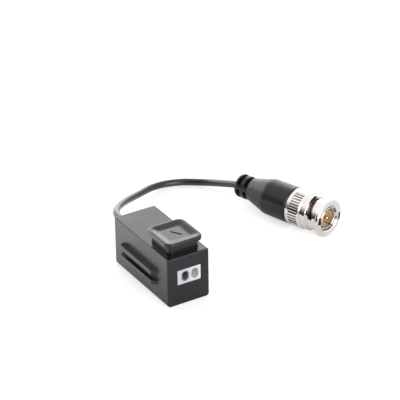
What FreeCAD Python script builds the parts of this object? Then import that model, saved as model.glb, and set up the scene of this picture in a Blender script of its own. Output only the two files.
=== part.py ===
import FreeCAD, Part
import math
import os

# Passive video balun: a box with a push-key wire terminal, and a coaxial pigtail that ends in a
# moulded boot and a bayonet plug. Millimetres.
# Frame: origin at the centre of the box's base, +X towards the terminal face, +Z up.

V = FreeCAD.Vector

# Clearances
touch_gap = 0.05          # between pieces that seat in each other and never move
fit_gap = 0.1             # between the shell and the pieces that it closes round
slide_gap = 0.2           # round the key's neck
lift_gap = 0.3            # between the key's parts and what they press on or pass
overcut = 1.0             # how far a cutter passes the faces that it cuts
overlap = 0.5             # how deep joined solids reach into each other

# Housing shell
box_length = 39.2
box_width = 17.6
box_height = 20.0
wall = 1.5
base_edge_radius = 1.3
edge_radius = 0.5         # of the end and top edges

# Side rails, on the left side only
rail_setback = 9.3        # from the terminal face to the rails' outer faces
rail_length = 22.4        # of the outer faces
rail_depth = 1.8
rail_bottom = 6.45
lower_rail_height = 1.5
rail_gap = 2.25
upper_rail_height = 1.85
rail_front_run = 1.9      # how far the sloped front end reaches past the outer face
rail_rear_run = 1.4

# Push key
key_length = 16.2
key_width = 15.7
key_corner_radius = 2.9
key_setback = 1.4         # from the terminal face to the cap's front
key_lift = 3.2            # from the box's top to the cap's underside
cap_height = 2.0
cap_edge_radius = 0.6
cap_under_radius = 0.5
neck_inset = 1.4
neck_corner_radius = 1.6
dish_rim = 0.8
dish_depth = 0.8
dish_bank = 3.1           # width of the dish's sloping border
skirt_lip = 0.55          # how far the retaining skirt passes under the top
skirt_height = 1.5
key_wall = 1.2
prong_width = 0.6
prong_length = 1.2
prong_setback = 0.9       # from the springs' tips to the prongs

# Terminal blocks and their ports
terminal_offset = 0.3     # the pair's middle, to the right of the box's middle
left_block_width = 5.45
right_block_width = 4.4
block_height = 6.0
block_bottom = 8.45
block_depth = 7.95
block_recess = 0.15
flange_reach = 0.75
flange_thickness = 1.1
port_width = 3.05
port_height = 4.25
port_chamfer = 0.95
left_land = 1.75          # from the left block's outer side to its port
middle_land = 1.05        # between the two ports
liner_wall = 0.25

# Terminal metalwork
spring_thickness = 0.3
spring_width = 3.0
spring_bend = 0.6
spring_rise = 1.05        # of the spring's underside above the board
spring_tip_height = 13.9
spring_tip_back = 13.2    # from the terminal face to the spring's tip
spring_front_back = 8.55  # from the terminal face to the spring's front bend
bar_width = 1.5
bar_thickness = 0.6
bar_length = 4.2
bar_height = 14.15        # underside of the contact bar
bar_setback = 2.7         # from the springs' tips to the bars' legs
bar_tail = 0.7            # of the bars' legs below the board's lower face

# Base cover
post_width = 2.0
post_inset = 1.2
post_front_inset = 3.6
peg_radius = 0.45
peg_rise = 0.4            # of the pegs above the board
tab_length = 4.0
tab_height = 2.2
tab_thickness = 0.7
nub_reach = 0.35
nub_height = 0.6
tab_spread = 8.0          # of the snap tabs from the middle, along X
cradle_gap = 0.6          # between the board's front end and the terminal's cradle
rib_inset = 2.9           # of the shell's hold-down ribs from the board's ends
rib_thickness = 1.0
rib_overlap = 0.8
rib_rise = 3.0

# Circuit board and what it carries
board_edge = 1.0          # from the contact bars' legs to the board's front end
board_width = 12.4
board_thickness = 1.0
board_height = 4.95
board_rear_gap = 1.2      # from the shell's rear wall
tail_clearance = 0.15
core_outer_radius = 4.5
core_inner_radius = 2.3
core_thickness = 3.6
core_from_rear = 7.8      # from the board's rear end to the core's axis
turn_wire = 0.4
turns = 7
winding_span = 132.0      # degrees of the core that each winding covers
arrester_radius = 1.4
arrester_length = 4.6
arrester_cap_width = 0.7
arrester_cap_rise = 0.1   # of the end caps over the tube
arrester_from_bars = 2.3  # from the contact bars' legs to the arrester's and the resistor's middle
resistor_row = 3.4        # of the resistor from the board's middle line
resistor_size = (2.0, 1.25, 0.55)
capacitor_from_rear = 2.8
capacitor_row = 3.75      # of the capacitors from the board's middle line
capacitor_size = (1.25, 2.0, 0.9)
lead_from_rear = 2.2
lead_spacing = 1.9

# Cord and its strain relief
cord_diameter = 2.9
cord_height = 10.45        # of the cord's axis where it leaves the rear wall
cord_inside = 3.7         # from the rear face to the cord's inner end
relief_length = 5.0
relief_root_radius = 3.2
relief_tip_radius = 2.15
relief_neck_radius = 2.75
relief_flange_radius = 3.6
relief_flange_thickness = 1.2
core_wire_radius = 0.3
bend_share = 0.45         # of the shorter run that each arc of the cord takes up

# Plug, measured back from the front of its collar
plug_heading = 18.0       # degrees from +X towards +Y
plug_front = (7.1, 71.1)
collar_length = 16.7
flange_radius = 7.65
flange_width = 1.6
neck_radius = 6.2
shoulder_radius = 7.0
shoulder_start = 7.0
shoulder_end = 9.0
waist_radius = 6.5
grip_radius = 7.4
grip_start = 9.8
knurl_start = 10.6
knurl_end = 14.8
knurl_count = 40
knurl_depth = 0.38
knurl_half_width = 0.4
collar_chamfer = 0.3
neck_blend = 0.9          # of the hollow curve between the flange and the neck
seam_turn = 35.0          # degrees to the collar's seam, clear of slots and keyways
collar_bore = 5.0
bore_chamfer = 0.4
chamber_radius = 6.2
chamber_start = 10.6
slot_width = 2.1
slot_end_turn = 85.0      # degrees round the axis, from the side that faces +Y, upwards
slot_end_depth = 6.8
slot_turn = 91.0
slot_advance = 1.9
detent_radius = 1.3
keyway_turn = 168.0       # degrees, of one keyway; the other lies opposite
keyway_width = 3.0
keyway_reach = 7.0
channel_reach = 5.65

contact_outer_radius = 4.4
contact_inner_radius = 3.85
contact_front = 0.45
contact_slit = 0.4
contact_slit_length = 5.5
contact_slit_turn = 28.0
contact_seat = 1.3        # how far the outer contact reaches behind the hub's front
pin_radius = 0.67
pin_front = 0.7
insulator_front = 5.2
insulator_step = 0.6      # from the contact's bore in to the insulator's rear part
hub_front = 9.2
hub_gap = 0.15            # between the hub and the collar's bore
body_flange_thickness = 1.0
barrel_radius = 4.6
barrel_end = 17.2
crimp_radius = 3.2
crimp_end = 23.4
crimp_wall = 1.4
barrel_floor = 1.0
gasket_length = 1.1
washer_stack = 1.5        # room for the spring washers
washer_thickness = 0.25
thrust_thickness = 0.45
ring_thickness = 0.75
ring_gap_turn = 36.0
groove_radius = 6.65

boot_gap = 0.2            # between the collar's rear and the boot
boot_front_radius = 7.38
boot_shoulder_radius = 7.3
boot_shoulder = 28.1
boot_cone_end = 37.7
boot_tail_radius = 4.72
boot_end = 44.3
boot_end_rounding = 0.8
rib_slot_width = 1.7
rib_slots = (38.0, 41.3)
rib_slot_radius = 3.3
rib_bridge_turn = 13.0    # half of each bridge across a rib slot, in degrees
boot_roll = -18.0         # degrees that the bridges are turned from level
ferrule_end = 23.9
ferrule_wall = 0.6
mould_tip_radius = 2.3
mould_root_radius = 3.6
cord_end_depth = 35.8     # where the cord ends inside the boot

# Route of the cord's axis, from inside the housing to the plug's boot
front_x = box_length / 2
rear_x = -box_length / 2
cord_radius = cord_diameter / 2
cord_points = [
    (rear_x + cord_inside, 0.0, cord_height),
    (-28.6, 0.0, cord_height),
    (-41.1, 2.7, 9.0),
    (-50.5, 12.1, 6.0),
    (-57.5, 23.2, 3.2),
    (-62.3, 33.0, 1.9),
    (-60.9, 43.5, 1.5),
    (-54.8, 51.3, 1.7),
    (-46.3, 54.8, 4.1),
]

# Derived places
inner_x = box_length / 2 - wall
inner_y = box_width / 2 - wall
top_inside = box_height - wall
key_x = front_x - key_setback - key_length / 2
neck_x = key_length / 2 - neck_inset
neck_y = key_width / 2 - neck_inset
cap_bottom = box_height + key_lift
cap_top = cap_bottom + cap_height
skirt_top = top_inside - fit_gap
skirt_bottom = skirt_top - skirt_height
port_bottom = block_bottom + (block_height - port_height) / 2
block_front = front_x - block_recess
block_rear = block_front - block_depth
flange_front = front_x - wall - touch_gap
board_rear = -inner_x + board_rear_gap
bar_x = front_x - spring_tip_back - bar_setback
board_front = bar_x + bar_thickness + board_edge
board_top = board_height + board_thickness
core_x = board_rear + core_from_rear
plug_axis = math.radians(plug_heading)
forward = V(math.cos(plug_axis), math.sin(plug_axis), 0)
plug_origin = V(plug_front[0], plug_front[1], flange_radius)
terminal_left = terminal_offset - (left_block_width + right_block_width) / 2
terminal_right = terminal_offset + (left_block_width + right_block_width) / 2
block_sides = {
    "left": (terminal_left, terminal_left + left_block_width),
    "right": (terminal_left + left_block_width, terminal_right),
}
pole_centres = {
    "left": terminal_left + left_land + port_width / 2,
    "right": terminal_left + left_land + port_width / 2 + port_width + middle_land,
}


def box(x0, x1, y0, y1, z0, z1):
    return Part.makeBox(x1 - x0, y1 - y0, z1 - z0, V(x0, y0, z0))


def cylinder(radius, length, base, axis):
    return Part.makeCylinder(radius, length, V(*base), V(*axis))


def fuse(shapes):
    return shapes[0].multiFuse(shapes[1:]).removeSplitter()


def rounded_rectangle(cx, cy, half_x, half_y, radius, z):
    """Closed wire at height z: a rectangle with rounded corners."""
    edges = []
    corners = [(1, 1), (-1, 1), (-1, -1), (1, -1)]
    starts = [(1, 0), (0, 1), (-1, 0), (0, -1)]
    k = radius * (1 - math.sqrt(0.5))
    arcs = []
    for (sx, sy), (tx, ty) in zip(corners, starts):
        x, y = cx + sx * half_x, cy + sy * half_y
        first = V(x - sx * radius * (1 - abs(tx)), y - sy * radius * abs(tx), z)
        last = V(x - sx * radius * abs(tx), y - sy * radius * (1 - abs(tx)), z)
        arcs.append((first, V(x - sx * k, y - sy * k, z), last))
    for i, arc in enumerate(arcs):
        edges.append(Part.Arc(*arc).toShape())
        edges.append(Part.LineSegment(arc[2], arcs[(i + 1) % 4][0]).toShape())
    return Part.Wire(edges)


def rounded_block(cx, cy, half_x, half_y, radius, z0, z1):
    face = Part.Face(rounded_rectangle(cx, cy, half_x, half_y, radius, z0))
    return face.extrude(V(0, 0, z1 - z0))


def plate(points, y0, y1):
    """Prism along Y over an outline of (x, z) points."""
    outline = [V(x, y0, z) for x, z in points]
    return Part.Face(Part.makePolygon(outline + outline[:1])).extrude(V(0, y1 - y0, 0))


def turned(points):
    """Solid of revolution about the local Z axis, over (radius, depth) points; depth runs to -Z."""
    outline = [V(r, 0, -s) for r, s in points]
    face = Part.Face(Part.makePolygon(outline + outline[:1]))
    return face.revolve(V(0, 0, 0), V(0, 0, 1), 360)


def ring(inner, outer, start, end):
    return turned([(inner, start), (outer, start), (outer, end), (inner, end)])


def wedge(half_turn, turn, start, length):
    """Cutter for a slice of the plug: half_turn degrees to each side of a turn, round a given length."""
    half = math.radians(half_turn)
    reach = boot_front_radius + overcut
    z = overcut - start
    points = [V(0, 0, z), V(reach, -reach * math.tan(half), z), V(reach, reach * math.tan(half), z)]
    slice_ = Part.Face(Part.makePolygon(points + points[:1])).extrude(V(0, 0, -length - 2 * overcut))
    slice_.rotate(V(0, 0, 0), V(0, 0, 1), turn)
    return slice_


def rounded_path(points, radii):
    """Wire of straight runs joined by tangent arcs; radii holds one value for each inner point."""
    edges = []
    at = points[0]
    for before, corner, after, radius in zip(points, points[1:], points[2:], radii):
        a = (before - corner).normalize()
        b = (after - corner).normalize()
        half = a.getAngle(b) / 2
        reach = radius / math.tan(half)
        middle = (a + b).normalize() * (radius / math.sin(half) - radius)
        first, last = corner + a * reach, corner + b * reach
        if at.distanceToPoint(first) > 1e-6:
            edges.append(Part.LineSegment(at, first).toShape())
        edges.append(Part.Arc(first, corner + middle, last).toShape())
        at = last
    edges.append(Part.LineSegment(at, points[-1]).toShape())
    return Part.Wire(edges)


def tube(points, radii, radius):
    path = rounded_path(points, radii)
    start = Part.Circle(points[0], points[1] - points[0], radius)
    section = Part.Wire([start.toShape()])
    return path.makePipeShell([section], True, False), path


def strip(points, bend, thickness, y0, y1):
    """Bent strip of even thickness along Y; points are (x, z) on its middle line."""
    sides = []
    for side in (-1, 1):
        shifted, radii = [], []
        for i, (x, z) in enumerate(points):
            before = points[max(i - 1, 0)]
            after = points[min(i + 1, len(points) - 1)]
            d0 = V(x - before[0], 0, z - before[1])
            d1 = V(after[0] - x, 0, after[1] - z)
            d0 = (d0 if d0.Length > 0 else d1).normalize()
            d1 = (V(after[0] - x, 0, after[1] - z) if i < len(points) - 1 else V(d0)).normalize()
            n = V(-d0.z - d1.z, 0, d0.x + d1.x)
            n = n.normalize() * (side * thickness / 2 / math.cos(d0.getAngle(d1) / 2))
            shifted.append(V(x + n.x, y0, z + n.z))
            if 0 < i < len(points) - 1:
                turn = d0.z * d1.x - d0.x * d1.z
                inner = (turn < 0) == (side > 0)
                radii.append(bend - thickness / 2 if inner else bend + thickness / 2)
        sides.append(rounded_path(shifted, radii))
    ends = []
    for pick in (0, -1):
        a = sides[0].OrderedVertexes[pick].Point
        b = sides[1].OrderedVertexes[pick].Point
        ends.append(Part.LineSegment(a, b).toShape())
    outline = Part.Wire(Part.__sortEdges__(sides[0].Edges + sides[1].Edges + ends))
    return Part.Face(outline).extrude(V(0, y1 - y0, 0))


def placed(shape):
    """Moves a plug piece from its local frame, with +Z forward, to its place on the plug's axis."""
    side, up = V(-forward.y, forward.x, 0), V(0, 0, 1)
    m = FreeCAD.Matrix(side.x, up.x, forward.x, plug_origin.x,
                       side.y, up.y, forward.y, plug_origin.y,
                       side.z, up.z, forward.z, plug_origin.z,
                       0, 0, 0, 1)
    result = shape.copy()
    result.Placement = FreeCAD.Placement(m).multiply(result.Placement)
    return result


def arch(centre, grow, x0, x1):
    """Prism along X with a round top and chamfered lower corners: a wire port, grown all round."""
    half = port_width / 2 + grow
    low = port_bottom - grow
    spring_line = port_bottom + port_height - port_width / 2
    c = port_chamfer
    points = [V(x0, centre - half + c, low), V(x0, centre + half - c, low),
              V(x0, centre + half, low + c), V(x0, centre + half, spring_line)]
    edges = [Part.LineSegment(a, b).toShape() for a, b in zip(points, points[1:])]
    left_top = V(x0, centre - half, spring_line)
    top = Part.Arc(points[-1], V(x0, centre, spring_line + half), left_top)
    edges.append(top.toShape())
    left_low = V(x0, centre - half, low + c)
    edges.append(Part.LineSegment(left_top, left_low).toShape())
    edges.append(Part.LineSegment(left_low, points[0]).toShape())
    return Part.Face(Part.Wire(edges)).extrude(V(x1 - x0, 0, 0))


def outer_shell():
    body = box(rear_x, front_x, -box_width / 2, box_width / 2, 0, box_height)
    low = [e for e in body.Edges if e.BoundBox.ZMax < 1e-6 and e.BoundBox.YLength < 1e-6]
    body = body.makeFillet(base_edge_radius, low)
    upright = [e for e in body.Edges if e.BoundBox.ZLength > box_height / 2]
    body = body.makeFillet(edge_radius, upright)
    top = [e for e in body.Edges if e.BoundBox.ZMin > box_height - 1e-6]
    return body.makeFillet(edge_radius, top)


def rail(bottom, height):
    x1 = front_x - rail_setback
    x0 = x1 - rail_length
    y0 = -box_width / 2
    root = y0 + wall / 2
    outline = [V(x0 - rail_rear_run, y0, bottom), V(x0, y0 - rail_depth, bottom),
               V(x1, y0 - rail_depth, bottom), V(x1 + rail_front_run, y0, bottom),
               V(x1 + rail_front_run, root, bottom), V(x0 - rail_rear_run, root, bottom)]
    face = Part.Face(Part.makePolygon(outline + outline[:1]))
    return face.extrude(V(0, 0, height))


def snap_recess(x, side):
    y0 = side * (inner_y - touch_gap)
    y1 = side * (inner_y - fit_gap + nub_reach + fit_gap)
    z0 = wall + tab_height - nub_height - 2 * fit_gap
    low, high = min(y0, y1), max(y0, y1)
    reach = tab_length / 2 + fit_gap
    return box(x - reach, x + reach, low, high, z0, z0 + nub_height + 3 * fit_gap)


def make_housing():
    shell = outer_shell()
    cavity = box(-inner_x, inner_x, -inner_y, inner_y, -overcut, top_inside)
    shell = shell.cut(cavity)
    rails = [rail(rail_bottom, lower_rail_height),
             rail(rail_bottom + lower_rail_height + rail_gap, upper_rail_height)]
    shell = fuse([shell] + rails)
    key_opening = rounded_block(key_x, 0, neck_x + slide_gap, neck_y + slide_gap,
                                neck_corner_radius + slide_gap,
                                top_inside - overcut, box_height + overcut)
    window = box(front_x - wall - overcut, front_x + overcut,
                 terminal_left - touch_gap, terminal_right + touch_gap,
                 block_bottom - touch_gap, block_bottom + block_height + touch_gap)
    cable_hole = cylinder(relief_neck_radius + touch_gap, wall + 2 * overcut,
                          (rear_x - overcut, 0, cord_height), (1, 0, 0))
    recesses = [snap_recess(sx * tab_spread, sy) for sx in (-1, 1) for sy in (-1, 1)]
    shell = shell.cut(Part.makeCompound([key_opening, window, cable_hole] + recesses))
    ribs = []
    for x in (board_rear + rib_inset, board_front - rib_inset):
        for side in (-1, 1):
            low, high = sorted((side * (board_width / 2 - rib_overlap), side * (inner_y + wall / 2)))
            ribs.append(box(x - rib_thickness / 2, x + rib_thickness / 2, low, high,
                            board_top + touch_gap, board_top + rib_rise))
    return fuse([shell] + ribs)


def board_posts():
    xs = (board_rear + post_inset, board_front - post_front_inset)
    ys = (-board_width / 2 + post_inset, board_width / 2 - post_inset)
    return [(x, y) for x in xs for y in ys]


def make_base_cover():
    px, py = inner_x - fit_gap, inner_y - fit_gap
    pieces = [box(-px, px, -py, py, 0, wall)]
    for x, y in board_posts():
        h = post_width / 2
        pieces.append(box(x - h, x + h, y - h, y + h, wall / 2, board_height))
        pieces.append(cylinder(peg_radius, board_thickness + peg_rise, (x, y, board_height), (0, 0, 1)))
    shelf = block_bottom - touch_gap
    seat = spring_bottom() - touch_gap
    rear = board_front + cradle_gap
    step = block_rear - lift_gap
    front = flange_front - flange_thickness - touch_gap
    cradle = plate([(rear, wall / 2), (rear, seat), (step, seat), (step, shelf),
                    (front, shelf), (front, wall / 2)],
                   terminal_left + lift_gap, terminal_right - lift_gap)
    pieces.append(cradle)
    for x in (-tab_spread, tab_spread):
        for side in (-1, 1):
            y1 = side * py
            y0 = side * (py - tab_thickness)
            low, high = min(y0, y1), max(y0, y1)
            half = tab_length / 2
            pieces.append(box(x - half, x + half, low, high, wall / 2, wall + tab_height))
            z1 = wall + tab_height - fit_gap
            nub = [V(x - half, y1, z1), V(x - half, y1 + side * nub_reach, z1 - nub_height / 2),
                   V(x - half, y1, z1 - nub_height)]
            pieces.append(Part.Face(Part.makePolygon(nub + nub[:1])).extrude(V(tab_length, 0, 0)))
    return fuse(pieces)


def spring_bottom():
    return board_top + spring_rise


def spring_points():
    z = spring_bottom() + spring_thickness / 2
    tail = board_front - cradle_gap
    return [(tail, z), (front_x - spring_front_back, z),
            (front_x - spring_tip_back, spring_tip_height)]


def prong_bottom(x):
    """Height of the leaf's upper face at x, plus the gap that the prong keeps from it."""
    _, (bx, bz), (tx, tz) = spring_points()
    slope = (tz - bz) / (tx - bx)
    rise = spring_thickness / 2 * math.hypot(1, slope)
    return bz + slope * (x - bx) + rise + lift_gap / 2


def prong_x():
    rear = front_x - spring_tip_back + prong_setback
    return rear, rear + prong_length


def dish():
    """Loft that scoops the dish: rounded rectangles that shrink and sink along a cosine bank."""
    wires = []
    steps = 5
    for i in range(steps + 1):
        t = i / steps
        inset = dish_rim + dish_bank * t
        sink = dish_depth * (1 - math.cos(math.pi * t)) / 2
        radius = max(key_corner_radius - 0.6 * inset, 0.6)
        wires.append(rounded_rectangle(key_x, 0, key_length / 2 - inset, key_width / 2 - inset,
                                       radius, cap_top - sink))
    lid = rounded_rectangle(key_x, 0, key_length / 2 - dish_rim, key_width / 2 - dish_rim,
                            key_corner_radius - 0.6 * dish_rim, cap_top + overlap)
    return Part.makeLoft([lid] + wires, True, True)


def make_push_key():
    cap = rounded_block(key_x, 0, key_length / 2, key_width / 2, key_corner_radius, cap_bottom, cap_top)
    upper = [e for e in cap.Edges if e.BoundBox.ZMin > cap_top - 1e-6]
    cap = cap.makeFillet(cap_edge_radius, upper)
    lower = [e for e in cap.Edges if e.BoundBox.ZMax < cap_bottom + 1e-6]
    cap = cap.makeFillet(cap_under_radius, lower)
    cap = cap.cut(dish())
    neck = rounded_block(key_x, 0, neck_x, neck_y, neck_corner_radius, skirt_bottom, cap_bottom + overlap)
    skirt = box(key_x - neck_x - skirt_lip, key_x + neck_x + skirt_lip,
                -neck_y + neck_corner_radius, neck_y - neck_corner_radius, skirt_bottom, skirt_top)
    key = fuse([cap, neck, skirt])
    hollow = rounded_block(key_x, 0, neck_x - key_wall, neck_y - key_wall,
                           neck_corner_radius - key_wall / 2, skirt_bottom - overcut,
                           cap_top - dish_depth - key_wall)
    key = key.cut(hollow)
    x0, x1 = prong_x()
    pieces = [key, box(x0, x1, -neck_y + key_wall / 2, neck_y - key_wall / 2, skirt_bottom, skirt_top)]
    for centre in pole_centres.values():
        for side in (-1, 1):
            inner = centre + side * (bar_width / 2 + fit_gap)
            outer = inner + side * prong_width
            pieces.append(box(x0, x1, min(inner, outer), max(inner, outer),
                              prong_bottom(x0), skirt_bottom + overlap))
    return fuse(pieces)


def make_port_block(side):
    centre = pole_centres[side]
    y0, y1 = block_sides[side]
    top = block_bottom + block_height
    body = box(block_rear, block_front, y0, y1, block_bottom, top)
    collar = box(flange_front - flange_thickness, flange_front, y0, y1,
                 block_bottom - flange_reach, top + flange_reach)
    return fuse([body, collar]).cut(arch(centre, 0.0, block_rear - overcut, block_front + overcut))


def make_port_liner():
    centre = pole_centres["left"]
    sleeve = arch(centre, -touch_gap, block_rear + touch_gap, block_front - touch_gap)
    return sleeve.cut(arch(centre, -touch_gap - liner_wall, block_rear - overcut, block_front + overcut))


def make_contact_bar(side):
    centre = pole_centres[side]
    x0 = bar_x
    y0, y1 = centre - bar_width / 2, centre + bar_width / 2
    top = bar_height + bar_thickness
    outline = [(x0, board_height - bar_tail), (x0, top), (x0 + bar_length, top),
               (x0 + bar_length, bar_height), (x0 + bar_thickness, bar_height),
               (x0 + bar_thickness, board_height - bar_tail)]
    return plate(outline, y0, y1)


def make_clamp_spring(side):
    centre = pole_centres[side]
    return strip(spring_points(), spring_bend, spring_thickness,
                 centre - spring_width / 2, centre + spring_width / 2)


def lead_places():
    x = board_rear + lead_from_rear
    return (x, 0.0), (x, -lead_spacing)


def make_circuit_board():
    board = box(board_rear, board_front, -board_width / 2, board_width / 2, board_height, board_top)
    cuts = []
    for x, y in board_posts():
        cuts.append(cylinder(peg_radius + fit_gap, board_thickness + 2 * overcut,
                             (x, y, board_height - overcut), (0, 0, 1)))
    for x, y in lead_places():
        cuts.append(cylinder(core_wire_radius + tail_clearance, board_thickness + 2 * overcut,
                             (x, y, board_height - overcut), (0, 0, 1)))
    for centre in pole_centres.values():
        half = bar_width / 2 + tail_clearance
        cuts.append(box(bar_x - tail_clearance, bar_x + bar_thickness + tail_clearance,
                        centre - half, centre + half, board_height - overcut, board_top + overcut))
    return board.cut(Part.makeCompound(cuts))


def core_bottom():
    return board_top + turn_wire + touch_gap


def make_toroid_core():
    z0 = core_bottom()
    c = 0.35
    ri, ro, z1 = core_inner_radius, core_outer_radius, z0 + core_thickness
    points = [(ri + c, z0), (ro - c, z0), (ro, z0 + c), (ro, z1 - c),
              (ro - c, z1), (ri + c, z1), (ri, z1 - c), (ri, z0 + c)]
    outline = [V(core_x + r, 0, z) for r, z in points]
    face = Part.Face(Part.makePolygon(outline + outline[:1]))
    return face.revolve(V(core_x, 0, 0), V(0, 0, 1), 360)


def wire_bar(a, b):
    """Square bar of the winding's wire between two points, half a wire longer at each end."""
    along = (b - a).normalize()
    outward = V(a.x + b.x - 2 * core_x, a.y + b.y, 0)
    across = along.cross(V(0, 0, 1) if abs(along.z) < 0.5 else outward).normalize()
    other = along.cross(across).normalize()
    h = turn_wire / 2
    start = a - along * h
    corners = [start + across * (sx * h) + other * (sy * h)
               for sx, sy in ((1, 1), (-1, 1), (-1, -1), (1, -1))]
    face = Part.Face(Part.makePolygon(corners + corners[:1]))
    return face.extrude(along * ((b - a).Length + 2 * h))


def make_winding(middle):
    """One continuous wire, turn after turn through the core's bore, centred on an angle."""
    gap = turn_wire / 2 + touch_gap / 2
    low, high = core_bottom() - gap, core_bottom() + core_thickness + gap
    near, far = core_inner_radius - gap, core_outer_radius + gap
    step = winding_span / turns

    def point(radius, angle, z):
        a = math.radians(angle)
        return V(core_x + radius * math.cos(a), radius * math.sin(a), z)

    path = []
    for i in range(turns):
        a = middle - winding_span / 2 + step * (i + 0.5)
        path += [point(far, a, low), point(far, a, high),
                 point(near, a, high), point(near, a, low)]
    return fuse([wire_bar(a, b) for a, b in zip(path, path[1:])])


def make_surge_arrester():
    x = bar_x - arrester_from_bars
    r = arrester_radius
    z = board_top + r + arrester_cap_rise
    half = arrester_length / 2
    inset = arrester_cap_width / 2
    middle = cylinder(r, arrester_length - 2 * inset, (x, -half + inset, z), (0, 1, 0))
    ends = [cylinder(r + arrester_cap_rise, arrester_cap_width, (x, y, z), (0, 1, 0))
            for y in (-half, half - arrester_cap_width)]
    return fuse([middle] + ends)


def chip(x, y, size):
    length, width, height = size
    return box(x - length / 2, x + length / 2, y - width / 2, y + width / 2,
               board_top, board_top + height)


def make_chip_capacitors():
    x = board_rear + capacitor_from_rear
    return Part.makeCompound([chip(x, side * capacitor_row, capacitor_size) for side in (-1, 1)])


def make_chip_resistor():
    return chip(bar_x - arrester_from_bars, resistor_row, resistor_size)


def make_core_lead():
    (x, y), _ = lead_places()
    start = V(rear_x + cord_inside, 0, cord_height)
    points = [start, V(x, y, cord_height), V(x, y, board_height - 0.6)]
    return tube(points, [0.8], core_wire_radius)[0]


def make_shield_lead():
    _, (x, y) = lead_places()
    start = V(rear_x + cord_inside, -0.9, cord_height)
    points = [start, V(x - 0.3, -0.9, cord_height), V(x, y, cord_height - 1.6), V(x, y, board_height - 0.6)]
    return tube(points, [0.4, 0.6], core_wire_radius)[0]


def make_cable_grommet():
    """Turned about the cord's axis at the rear wall: flange inside, neck in the hole, taper outside."""
    bore = cord_radius + touch_gap
    inside = rear_x + wall + touch_gap
    outside = rear_x - touch_gap
    tip = rear_x - relief_length
    points = [(inside + relief_flange_thickness, bore), (inside + relief_flange_thickness, relief_flange_radius),
              (inside, relief_flange_radius), (inside, relief_neck_radius),
              (outside, relief_neck_radius), (outside, relief_root_radius),
              (outside - 1.0, relief_root_radius), (tip + 0.3, relief_tip_radius),
              (tip, relief_tip_radius - 0.3), (tip, bore)]
    outline = [V(x, 0, cord_height + r) for x, r in points]
    face = Part.Face(Part.makePolygon(outline + outline[:1]))
    return face.revolve(V(0, 0, cord_height), V(1, 0, 0), 360)


def route():
    """Points of the cord's axis, and the radius of the arc at each inner one."""
    tail = plug_origin - forward * boot_end
    inside = plug_origin - forward * cord_end_depth
    points = [V(*p) for p in cord_points] + [tail, inside]
    radii = []
    for a, b, c in zip(points, points[1:], points[2:]):
        turn = (b - a).getAngle(c - b)
        shorter = min(a.distanceToPoint(b), b.distanceToPoint(c))
        radii.append(bend_share * shorter / math.tan(turn / 2))
    return points, radii


def make_pigtail_cord():
    points, radii = route()
    solid, path = tube(points, radii, cord_radius)
    section = math.pi * cord_radius ** 2
    print("cord bend radii", [round(r, 1) for r in radii])
    runs = sum(a.distanceToPoint(b) for a, b in zip(points, points[1:]))
    print("cord length %.1f, runs %.1f" % (path.Length, runs))
    print("cord volume over section times length %.4f" % (solid.Volume / (section * path.Length)))
    return solid


def slot_cutters():
    """Cutters for one bayonet slot: a radial bar carried along a right-hand helix, and its end hole."""
    lead = slot_advance * 360.0 / slot_turn
    helix = Part.makeHelix(lead, slot_advance, (collar_bore + neck_radius) / 2)
    r0, r1 = collar_bore - overlap, shoulder_radius + overlap
    h = slot_width / 2
    outline = [V(r0, 0, -h), V(r1, 0, -h), V(r1, 0, h), V(r0, 0, h)]
    sweep = Part.Wire(helix.Edges).makePipeShell([Part.makePolygon(outline + outline[:1])], True, True)
    hole = cylinder(detent_radius, r1 - r0, (r0, 0, 0), (1, 0, 0))
    for cutter in (sweep, hole):
        cutter.rotate(V(0, 0, 0), V(0, 0, 1), slot_end_turn)
        cutter.translate(V(0, 0, -slot_end_depth))
    return [sweep, hole]


def keyway_cutters():
    """Cutters for one entry: a deep keyway in the front flange, and a channel in the bore to the slot."""
    h = keyway_width / 2
    slot_depth_there = slot_end_depth - slot_advance * (keyway_turn - slot_end_turn) / slot_turn
    keyway = box(collar_bore - overlap, keyway_reach, -h, h, -flange_width, overcut)
    channel = box(collar_bore - overlap, channel_reach, -h, h, -slot_depth_there, overcut)
    for cutter in (keyway, channel):
        cutter.rotate(V(0, 0, 0), V(0, 0, 1), keyway_turn)
    return [keyway, channel]


def knurl_cutter(k):
    """Cutter for the k-th groove of the knurl: a straight V along the axis."""
    tip = grip_radius - knurl_depth
    rim = grip_radius + knurl_depth
    half = knurl_half_width * (rim - tip) / knurl_depth
    notch = [V(tip, 0, -knurl_end), V(rim, -half, -knurl_end), V(rim, half, -knurl_end)]
    prism = Part.Face(Part.makePolygon(notch + notch[:1])).extrude(V(0, 0, knurl_end - knurl_start))
    prism.rotate(V(0, 0, 0), V(0, 0, 1), k * 360.0 / knurl_count)
    return prism


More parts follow.
